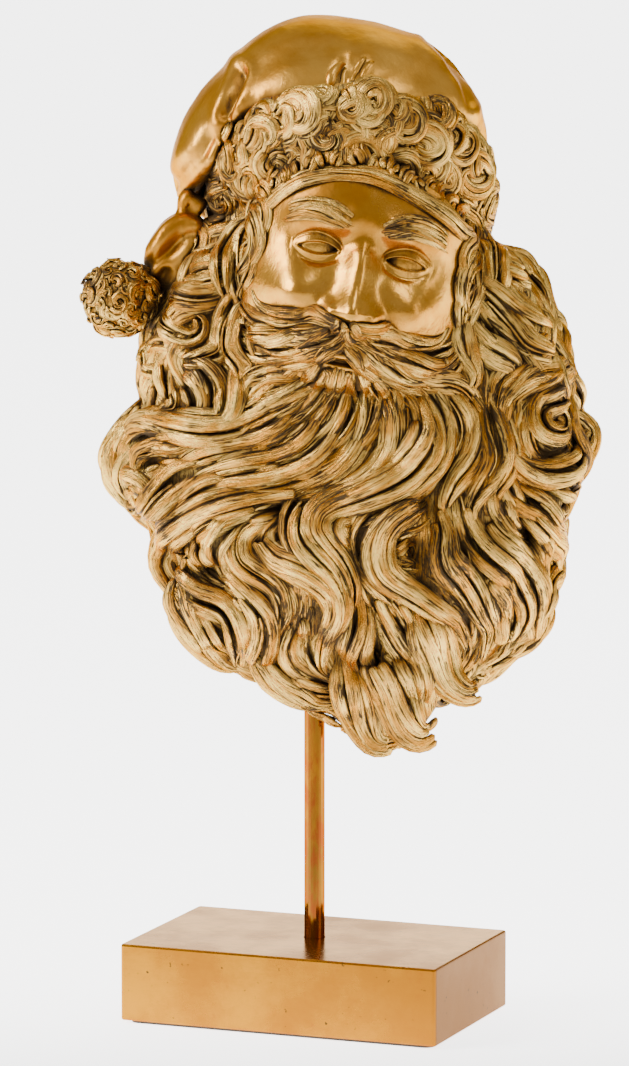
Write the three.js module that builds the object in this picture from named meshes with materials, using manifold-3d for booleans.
// A gilded resin head in a stocking cap, standing on a rod and a block.
// Millimetres, +Z up. The origin is on the table under the rod's axis, at the centre of the block.
// The block's long front face looks along -Y. The head stands turned about the rod.
import * as THREE from "three";
import { mergeVertices } from "three/addons/utils/BufferGeometryUtils.js";
import Module from "manifold-3d";

const wasm = await Module();
wasm.setup();

// ---- Driving dimensions ----
const GAP = 0.3; // clearance left between touching pieces
const HEAD_TURN = THREE.MathUtils.degToRad(21.4); // how far the face is turned off the block's front

const BLOCK = { width: 130, depth: 80, height: 30, corner: 1.5, bevel: 0.8 };
const FELT = { thickness: 1.2, inset: 2.5 };
const ROD = { radius: 4, top: 234, dome: 2.5, seat: 16 };
const SCREW = { radius: 2.5, headRadius: 4.8, headHeight: 3, grip: 9 };
const WASHER = { radius: 6, thickness: 1 };
const RECESS = { radius: 7, depth: 8 };
const SOCKET = { radius: 7, bottom: 132, top: 239 };
const ROD_HOLE = 5; // radius of the hole below the socket, where the rod enters the beard
const PLUG_HEIGHT = 4;

const HAIR_HOLLOW = 0.86; // the hollow inside the hair and beard, as a share of their outside
const CROWN_HOLLOW = 0.88; // the same for the cap's crown
const COLUMN = 13; // radius of the solid resin round the socket
const BEARD_SEAM = 243; // height of the seam between the beard and the hair
const FACE_CENTRE = new THREE.Vector3(16, -31, 294);
const FACE_TILT = THREE.MathUtils.degToRad(11); // the head leans to its own left

const BLOCK_BOTTOM = FELT.thickness;
const BLOCK_TOP = BLOCK_BOTTOM + BLOCK.height;
const ROD_BOTTOM = BLOCK_TOP - ROD.seat;

// ---- Outlines, as [x, z] seen from the front of the head, anticlockwise ----
const HAIR_OUTLINE = [
  [107, 222], [103, 240], [97, 256], [93, 272], [88, 288], [76, 300], [62, 316], [42, 330], [10, 336],
  [-22, 328], [-44, 310], [-56, 288], [-64, 268], [-67, 254], [-62, 244], [-75, 234], [-81, 216], [-76, 201],
  [-61, 194], [-60, 176], [-47, 157], [-35, 139], [-21, 135], [-5, 120], [10, 112], [21, 102], [40, 105],
  [50, 121], [66, 133], [84, 147], [93, 166], [95, 187], [98, 205],
];
const CROWN_OUTLINE = [
  [66, 332], [62, 353], [50, 371], [35, 380], [15, 386], [-2, 387], [-20, 379], [-38, 363], [-50, 345],
  [-54, 326], [-46, 308], [-20, 290], [10, 284], [40, 290], [60, 308],
];
const TAIL_OUTLINE = [
  [-44, 322], [-50, 324], [-53, 316], [-57, 309], [-63, 302], [-65, 293], [-62, 284], [-55, 281],
  [-48, 286], [-44, 294], [-42, 306],
];
const FACE_OUTLINE = [
  [42, 0], [39, 18], [28, 34], [0, 40], [-28, 34], [-39, 18], [-42, 0], [-36, -19], [-21, -31], [0, -36],
  [21, -31], [36, -19],
];
// The nose, cheeks, eyeballs and lower lip, as balls sunk in the face; one off the middle has a twin.
const FACE_FEATURES = [
  { radius: 8, at: [0, -32, -10] },
  { radius: 15, at: [20, -16.5, -9] },
  { radius: 8, at: [16, -21.5, 9] },
  { radius: 5, at: [0, -26, -31] },
];
const MOUSTACHE_OUTLINE = [
  [-2, 4], [-12, 4], [-24, 0], [-36, 4], [-43, 8], [-44, 0], [-34, -9], [-20, -11], [-8, -8], [-2, -4],
];
const CAP_RING = { x: 14, z: 321, radiusX: 46, radiusY: 47, halfThick: 10.5, halfTall: 20, slope: 0.58 };
const FUR_LUMPS = { count: 9, height: 0.09 }; // the height is a share of the band's own section
const POMPOM = { x: -74, y: -14, z: 282, radius: 15 };

// ---- The large locks, as [x, z] along each one from its root to its tip ----
const FRONT_LOCKS = [
  [[20, 250], [38, 238], [40, 222], [30, 206], [10, 198], [-6, 188], [0, 174], [16, 160]],
  [[-6, 206], [-32, 200], [-47, 187], [-47, 171], [-36, 159], [-27, 148], [-30, 142]],
  [[12, 194], [4, 178], [12, 160], [28, 144], [36, 126], [28, 110]],
  [[42, 205], [50, 186], [42, 168], [52, 148], [60, 134]],
  [[62, 214], [74, 198], [66, 180], [74, 160], [66, 144]],
  [[84, 232], [96, 222], [90, 204], [86, 184], [88, 164], [78, 150]],
  [[-22, 236], [-46, 236], [-62, 226], [-68, 213], [-60, 204], [-52, 211]],
  [[-18, 184], [-26, 166], [-14, 150], [-4, 136], [6, 122]],
  [[62, 304], [82, 284], [82, 266], [92, 252], [90, 244]],
  [[-22, 304], [-40, 290], [-52, 272], [-46, 257], [-56, 248]],
];
const BACK_LOCK = [[0, 288], [7, 262], [-4, 236], [6, 208], [-5, 182], [3, 162]]; // about its own middle
const BACK_LOCK_COUNT = 6;
const BACK_LOCK_SPREAD = [-44, 70]; // from the first lock's x to the last one's
const LOCK = { radius: 8, flatten: 0.75, sides: 7, steps: 15 };

// ---- Solids ----
function solidOf(geometry) {
  const bare = geometry.clone();
  bare.deleteAttribute("normal");
  bare.deleteAttribute("uv");
  const merged = mergeVertices(bare, 1e-3);
  return new wasm.Manifold(
    new wasm.Mesh({
      numProp: 3,
      vertProperties: merged.attributes.position.array,
      triVerts: new Uint32Array(merged.index.array),
    }),
  );
}

function geometryOf(solid) {
  const mesh = solid.getMesh();
  const geometry = new THREE.BufferGeometry();
  geometry.setAttribute("position", new THREE.BufferAttribute(mesh.vertProperties, 3));
  geometry.setIndex(new THREE.BufferAttribute(mesh.triVerts, 1));
  geometry.computeVertexNormals();
  return geometry;
}

// An upright cylinder from one height to another, on the rod's axis.
function upright(radius, bottom, top, sides = 24) {
  const geometry = new THREE.CylinderGeometry(radius, radius, top - bottom, sides);
  geometry.rotateX(Math.PI / 2);
  geometry.translate(0, 0, (bottom + top) / 2);
  return solidOf(geometry);
}

// A box between two corners.
function boxBetween(low, high) {
  const size = high.map((value, i) => value - low[i]);
  const geometry = new THREE.BoxGeometry(...size);
  geometry.translate(...high.map((value, i) => (value + low[i]) / 2));
  return solidOf(geometry);
}

// The distance from a centre to a smooth closed outline, as a function of the angle round that centre.
function radiusRound(outline, centre) {
  const curve = new THREE.CatmullRomCurve3(
    outline.map(([x, z]) => new THREE.Vector3(x - centre[0], 0, z - centre[1])),
    true,
  );
  const once = curve.getPoints(600).map((p) => [Math.atan2(p.z, p.x), Math.hypot(p.x, p.z)]);
  const turn = 2 * Math.PI;
  const polar = [-turn, 0, turn]
    .flatMap((shift) => once.map(([at, r]) => [at + shift, r]))
    .sort((a, b) => a[0] - b[0]);
  return (angle) => {
    const after = polar.findIndex(([at]) => at >= angle);
    const [a0, r0] = polar[after - 1];
    const [a1, r1] = polar[after];
    return r0 + ((r1 - r0) * (angle - a0)) / Math.max(a1 - a0, 1e-9);
  };
}

// The mean distance from a centre to an outline's points.
function meanRadius(outline, centre) {
  const distances = outline.map(([x, z]) => Math.hypot(x - centre[0], z - centre[1]));
  return distances.reduce((sum, each) => sum + each, 0) / outline.length;
}

// A solid with a given outline seen from the front, swelling to a depth in front of and behind that outline.
// fullness above 1 makes it boxier; depthAt scales its depth from place to place.
// The outline's lobes fade towards the middle, which is round.
function swollen({
  outline, centre, front, back, y = 0, fullness = 1, depthAt = () => 1,
  round = 32, rings = 12, grow = 0, scale = 1,
}) {
  const radiusAt = radiusRound(outline, centre);
  const mean = meanRadius(outline, centre);
  const geometry = new THREE.SphereGeometry(1, round, rings);
  const position = geometry.attributes.position;
  for (let i = 0; i < position.count; i++) {
    const [ux, uy, uz] = [position.getX(i), position.getY(i), position.getZ(i)];
    const angle = Math.atan2(uz, ux);
    const out = Math.hypot(ux, uz);
    const reach = ((mean + (radiusAt(angle) - mean) * out) * scale + grow) * out;
    const x = centre[0] + Math.cos(angle) * reach;
    const z = centre[1] + Math.sin(angle) * reach;
    const depth = (uy < 0 ? front : back) * scale * depthAt(x, z) + grow;
    position.setXYZ(i, x, y + Math.sign(uy) * Math.abs(uy) ** (1 / fullness) * depth, z);
  }
  return solidOf(geometry);
}

// The beard thins towards its tip.
const beardDepth = (x, z) => THREE.MathUtils.clamp(0.42 + (z - 100) / 130, 0.42, 1);
const HAIR = {
  outline: HAIR_OUTLINE, centre: [14, 222], front: 58, back: 48, fullness: 1.25, depthAt: beardDepth,
  round: 52, rings: 14,
};
const hairMass = (options = {}) => swollen({ ...HAIR, ...options });

// The depth of the hair's surface at a point seen from the front; side is -1 for the front, 1 for the back.
const hairRadius = radiusRound(HAIR.outline, HAIR.centre);
const hairMean = meanRadius(HAIR.outline, HAIR.centre);
function hairSurface(x, z, side) {
  const [dx, dz] = [x - HAIR.centre[0], z - HAIR.centre[1]];
  const lobe = hairRadius(Math.atan2(dz, dx)) - hairMean;
  const reach = Math.hypot(dx, dz);
  const out = Math.abs(lobe) < 1e-6
    ? reach / hairMean
    : (Math.sqrt(Math.max(hairMean ** 2 + 4 * lobe * reach, 0)) - hairMean) / (2 * lobe);
  const rise = Math.sqrt(Math.max(1 - out ** 2, 0)) ** (1 / HAIR.fullness);
  return side * rise * beardDepth(x, z) * (side < 0 ? HAIR.front : HAIR.back);
}

// A lock that lies half sunk in the hair and tapers at both ends.
function lock(points, side, across = 0) {
  const curve = new THREE.CatmullRomCurve3(
    points.map(([x, z]) => new THREE.Vector3(x + across, hairSurface(x + across, z, side), z)),
  );
  const geometry = new THREE.SphereGeometry(1, LOCK.sides, LOCK.steps);
  const position = geometry.attributes.position;
  for (let i = 0; i < position.count; i++) {
    const along = THREE.MathUtils.clamp((1 + position.getY(i)) / 2, 0, 1);
    const middle = curve.getPoint(along);
    const ahead = curve.getTangent(along);
    const outward = new THREE.Vector3(0, side, 0);
    const sideways = ahead.clone().cross(outward).normalize();
    middle.addScaledVector(sideways, position.getX(i) * LOCK.radius);
    middle.addScaledVector(outward, position.getZ(i) * LOCK.radius * LOCK.flatten);
    position.setXYZ(i, middle.x, middle.y, middle.z);
  }
  return solidOf(geometry);
}

// The hair and beard with their large locks.
function lockedHair() {
  const [first, last] = BACK_LOCK_SPREAD;
  const step = (last - first) / (BACK_LOCK_COUNT - 1);
  const behind = Array.from({ length: BACK_LOCK_COUNT }, (_, i) => lock(BACK_LOCK, 1, first + i * step));
  const before = FRONT_LOCKS.map((points) => lock(points, -1));
  return [...before, ...behind].reduce((sum, each) => sum.add(each), hairMass());
}

const crownCentre = [6, 338];
const crownMass = (options = {}) =>
  swollen({
    outline: CROWN_OUTLINE, centre: crownCentre, y: 4, front: 44, back: 47, fullness: 1.15, ...options,
  });

const tailMass = (options = {}) =>
  swollen({
    outline: TAIL_OUTLINE, centre: [-54, 302], y: -6, front: 9, back: 9, fullness: 1.2,
    round: 20, rings: 8, ...options,
  });

// The fur band: a flattened ring that rises to the front.
function furBand(grow = 0) {
  const geometry = new THREE.TorusGeometry(1, 0.5, 10, 36);
  const position = geometry.attributes.position;
  for (let i = 0; i < position.count; i++) {
    const [tx, ty, tz] = [position.getX(i), position.getY(i), position.getZ(i)];
    const round = Math.atan2(ty, tx);
    const outward = (Math.hypot(tx, ty) - 1) / 0.5;
    const upward = tz / 0.5;
    const lump = 1 + FUR_LUMPS.height * Math.sin(FUR_LUMPS.count * round + 3 * upward);
    const swell = outward * (CAP_RING.halfThick * lump + grow);
    const x = CAP_RING.x + Math.cos(round) * (CAP_RING.radiusX + swell);
    const y = Math.sin(round) * (CAP_RING.radiusY + swell);
    position.setXYZ(i, x, y, CAP_RING.z - CAP_RING.slope * y + upward * (CAP_RING.halfTall * lump + grow));
  }
  return solidOf(geometry);
}

// A part of the face, given in the face's own tilted frame, put in its place on the head.
function onFace(solid) {
  const place = new THREE.Matrix4()
    .makeTranslation(FACE_CENTRE.x, FACE_CENTRE.y, FACE_CENTRE.z)
    .multiply(new THREE.Matrix4().makeRotationY(FACE_TILT));
  const geometry = geometryOf(solid);
  geometry.applyMatrix4(place);
  return solidOf(geometry);
}

function faceMass(grow = 0) {
  const mask = swollen({
    outline: FACE_OUTLINE, centre: [0, 0], front: 32, back: 8, round: 28, rings: 10, grow,
  });
  const features = FACE_FEATURES.flatMap(({ radius, at }) => {
    const sides = at[0] === 0 ? [1] : [-1, 1];
    return sides.map((side) => {
      const ball = new THREE.SphereGeometry(radius + grow, 12, 8);
      ball.translate(side * at[0], at[1], at[2]);
      return solidOf(ball);
    });
  });
  return onFace(features.reduce((sum, each) => sum.add(each), mask));
}

// One wing of the moustache; side is -1 for the wing at -x and 1 for the one at +x.
function moustacheWing(side, grow = 0) {
  const outline = side < 0 ? MOUSTACHE_OUTLINE : MOUSTACHE_OUTLINE.map(([x, z]) => [-x, z]).reverse();
  const wing = swollen({
    outline, centre: [side * 22, -4], y: -26, front: 10, back: 10, round: 20, rings: 8, grow,
    depthAt: (x) => 1 - 0.35 * Math.abs(x / 44),
  });
  const geometry = geometryOf(wing);
  geometry.translate(0, 0, -23);
  return onFace(solidOf(geometry));
}

function pompomBall(grow = 0) {
  const geometry = new THREE.SphereGeometry(POMPOM.radius + grow, 18, 12);
  geometry.translate(POMPOM.x, POMPOM.y, POMPOM.z);
  return solidOf(geometry);
}

// The wire that pins the pompom to the end of the tail.
const DOWEL = {
  from: new THREE.Vector3(-57, -8, 288),
  to: new THREE.Vector3(-71, -12.5, 283),
  radius: 1.2,
};
function dowel(grow = 0) {
  const along = DOWEL.to.clone().sub(DOWEL.from);
  const radius = DOWEL.radius + grow;
  const geometry = new THREE.CylinderGeometry(radius, radius, along.length() + 2 * grow, 16);
  const lean = new THREE.Quaternion().setFromUnitVectors(new THREE.Vector3(0, 1, 0), along.normalize());
  geometry.applyQuaternion(lean);
  geometry.translate(...DOWEL.from.clone().add(DOWEL.to).multiplyScalar(0.5).toArray());
  return solidOf(geometry);
}

// ---- The stand ----
function roundedPlate(width, depth, corner, height, bevel) {
  const [w, d] = [width / 2 - bevel, depth / 2 - bevel];
  const r = Math.max(corner - bevel, 0.4);
  const shape = new THREE.Shape();
  shape.moveTo(-w + r, -d);
  shape.lineTo(w - r, -d);
  shape.absarc(w - r, -d + r, r, -Math.PI / 2, 0);
  shape.lineTo(w, d - r);
  shape.absarc(w - r, d - r, r, 0, Math.PI / 2);
  shape.lineTo(-w + r, d);
  shape.absarc(-w + r, d - r, r, Math.PI / 2, Math.PI);
  shape.lineTo(-w, -d + r);
  shape.absarc(-w + r, -d + r, r, Math.PI, 1.5 * Math.PI);
  const geometry = new THREE.ExtrudeGeometry(shape, {
    depth: height - 2 * bevel, bevelThickness: bevel, bevelSize: bevel, bevelSegments: 3,
    bevelEnabled: bevel > 0, curveSegments: 4,
  });
  geometry.translate(0, 0, bevel);
  return geometry;
}

function baseFelt() {
  return solidOf(
    roundedPlate(BLOCK.width - 2 * FELT.inset, BLOCK.depth - 2 * FELT.inset, 4, FELT.thickness - GAP / 2, 0),
  );
}

function baseBlock() {
  const plate = roundedPlate(BLOCK.width, BLOCK.depth, BLOCK.corner, BLOCK.height, BLOCK.bevel);
  plate.translate(0, 0, BLOCK_BOTTOM);
  return solidOf(plate)
    .subtract(upright(ROD.radius + GAP, ROD_BOTTOM - GAP, BLOCK_TOP + 1))
    .subtract(upright(RECESS.radius, BLOCK_BOTTOM - 1, BLOCK_BOTTOM + RECESS.depth))
    .subtract(upright(SCREW.radius + GAP, BLOCK_BOTTOM, ROD_BOTTOM));
}

const washerBottom = BLOCK_BOTTOM + RECESS.depth - GAP - WASHER.thickness;
function baseWasher() {
  return upright(WASHER.radius, washerBottom, washerBottom + WASHER.thickness).subtract(
    upright(SCREW.radius + GAP, washerBottom - 1, washerBottom + WASHER.thickness + 1),
  );
}

// A pan-head screw with a cross recess, driven up through the block into the rod.
const screwSeat = washerBottom - GAP;
function baseScrew() {
  const head = upright(SCREW.headRadius, screwSeat - SCREW.headHeight, screwSeat);
  const shank = upright(SCREW.radius, screwSeat - 0.1, ROD_BOTTOM + SCREW.grip);
  const slotDepth = screwSeat - SCREW.headHeight + 1.6;
  const cross = [0, Math.PI / 2].map((turn) => {
    const bar = new THREE.BoxGeometry(5, 1, 4);
    bar.rotateZ(turn);
    bar.translate(0, 0, slotDepth - 2);
    return solidOf(bar);
  });
  return head.add(shank).subtract(cross[0]).subtract(cross[1]);
}

function supportRod() {
  const profile = [new THREE.Vector2(0, ROD_BOTTOM), new THREE.Vector2(ROD.radius - 0.4, ROD_BOTTOM)];
  profile.push(new THREE.Vector2(ROD.radius, ROD_BOTTOM + 0.4));
  for (let i = 0; i <= 4; i++) {
    const a = (i / 4) * (Math.PI / 2);
    profile.push(new THREE.Vector2(ROD.radius * Math.cos(a), ROD.top - ROD.dome + ROD.dome * Math.sin(a)));
  }
  profile[profile.length - 1].x = 0;
  const geometry = new THREE.LatheGeometry(profile, 24);
  geometry.rotateX(Math.PI / 2);
  const tapped = upright(SCREW.radius + GAP, ROD_BOTTOM - 1, ROD_BOTTOM + SCREW.grip + 2);
  return solidOf(geometry).subtract(tapped);
}

// ---- The socket in the head ----
function rodSocket() {
  return upright(SOCKET.radius, SOCKET.bottom, SOCKET.top).subtract(
    upright(ROD.radius + GAP, SOCKET.bottom - 1, SOCKET.top + 1),
  );
}

// The plug rests on the rod's domed end and carries the head.
function socketPlug() {
  return upright(ROD.radius, ROD.top + GAP, ROD.top + GAP + PLUG_HEIGHT);
}

// ---- The castings ----
const furSolid = furBand();
const grownFur = furBand(GAP);
const faceSolid = faceMass();
const grownFace = faceMass(GAP);
const leftWing = moustacheWing(-1);
const rightWing = moustacheWing(1);
const grownWings = moustacheWing(-1, GAP).add(moustacheWing(1, GAP));
const tailSolid = tailMass();
const grownTail = tailMass({ grow: GAP });
const socketHole = upright(SOCKET.radius + GAP, SOCKET.bottom - GAP, SOCKET.top + GAP).add(
  upright(ROD_HOLE, BLOCK_TOP, SOCKET.bottom),
);

const FAR = 200; // beyond every part of the head
const hollow = hairMass({ scale: HAIR_HOLLOW, round: 24, rings: 8 }).subtract(
  upright(COLUMN, BLOCK_TOP, SOCKET.top + 8),
);

// Everything above the band's middle plane, which rises to the front as the band does.
function aboveBand(lift = 0) {
  const geometry = new THREE.BoxGeometry(2 * FAR, 2 * FAR, FAR);
  geometry.translate(0, 0, FAR / 2);
  geometry.rotateX(-Math.atan(CAP_RING.slope));
  geometry.translate(0, 0, CAP_RING.z + lift);
  return solidOf(geometry);
}

// The hair and beard as one shell, before it is parted at its seams.
const hairShell = lockedHair()
  .subtract(hollow)
  .subtract(grownFur)
  .subtract(aboveBand(-GAP))
  .subtract(grownFace)
  .subtract(grownWings)
  .subtract(grownTail)
  .subtract(pompomBall(GAP))
  .subtract(dowel(GAP))
  .subtract(socketHole);

// The largest body of a solid, without the slivers that a cut can leave.
function largest(solid) {
  return solid.decompose().sort((a, b) => b.volume() - a.volume())[0];
}
function shellWithin(low, high) {
  return largest(hairShell.intersect(boxBetween(low, high)));
}

const seam = GAP / 2;
const hairMiddle = FACE_CENTRE.x;
const beard = shellWithin([-FAR, -FAR, 0], [FAR, -seam, BEARD_SEAM - seam]);
const hairLeft = shellWithin([-FAR, -FAR, BEARD_SEAM + seam], [hairMiddle - seam, -seam, 2 * FAR]);
const hairRight = shellWithin([hairMiddle + seam, -FAR, BEARD_SEAM + seam], [FAR, -seam, 2 * FAR]);
const hairBack = shellWithin([-FAR, seam, 0], [FAR, FAR, 2 * FAR]);

const face = largest(faceSolid.subtract(grownFur).subtract(grownWings));
const wingLeft = largest(leftWing.intersect(boxBetween([-FAR, -FAR, 0], [hairMiddle - seam, FAR, 2 * FAR])));
const wingRight = largest(rightWing.intersect(boxBetween([hairMiddle + seam, -FAR, 0], [FAR, FAR, 2 * FAR])));
const crown = largest(
  crownMass()
    .subtract(crownMass({ scale: CROWN_HOLLOW, round: 20, rings: 8 }))
    .subtract(grownFur)
    .subtract(grownTail)
    .subtract(grownFace)
    .intersect(aboveBand()),
);
const tail = largest(tailSolid.subtract(grownFur).subtract(dowel(GAP)).subtract(pompomBall(GAP)));
const pompom = pompomBall().subtract(dowel(GAP));

// ---- The scene graph ----
const leaf = (color, roughness) => new THREE.MeshStandardMaterial({ color, roughness, metalness: 1 });
const MATERIALS = {
  agedLeaf: leaf(0xc8964a, 0.35),
  smoothLeaf: leaf(0xd6a050, 0.28),
  blockLeaf: leaf(0xdca455, 0.3),
  rodGilt: leaf(0xcf9a4c, 0.22),
  steel: leaf(0x9a9a9c, 0.35),
  felt: new THREE.MeshStandardMaterial({ color: 0x2b2723, roughness: 0.95, metalness: 0 }),
};

function piece(name, solid, material) {
  const mesh = new THREE.Mesh(geometryOf(solid), material);
  mesh.name = name;
  return mesh;
}

const stand = new THREE.Group();
stand.add(
  piece("base_felt", baseFelt(), MATERIALS.felt),
  piece("base_block", baseBlock(), MATERIALS.blockLeaf),
  piece("base_washer", baseWasher(), MATERIALS.steel),
  piece("base_screw", baseScrew(), MATERIALS.steel),
  piece("support_rod", supportRod(), MATERIALS.rodGilt),
);

const head = new THREE.Group();
head.rotation.z = HEAD_TURN;
head.add(
  piece("rod_socket", rodSocket(), MATERIALS.steel),
  piece("socket_plug", socketPlug(), MATERIALS.steel),
  piece("beard", beard, MATERIALS.agedLeaf),
  piece("hair_left", hairLeft, MATERIALS.agedLeaf),
  piece("hair_right", hairRight, MATERIALS.agedLeaf),
  piece("hair_back", hairBack, MATERIALS.agedLeaf),
  piece("face", face, MATERIALS.smoothLeaf),
  piece("moustache_left", wingLeft, MATERIALS.agedLeaf),
  piece("moustache_right", wingRight, MATERIALS.agedLeaf),
  piece("fur_band", furSolid, MATERIALS.agedLeaf),
  piece("cap_crown", crown, MATERIALS.smoothLeaf),
  piece("cap_tail", tail, MATERIALS.smoothLeaf),
  piece("pompom", pompom, MATERIALS.agedLeaf),
  piece("pompom_dowel", dowel(), MATERIALS.steel),
);

const bust = new THREE.Group();
bust.add(stand, head);
export default bust;
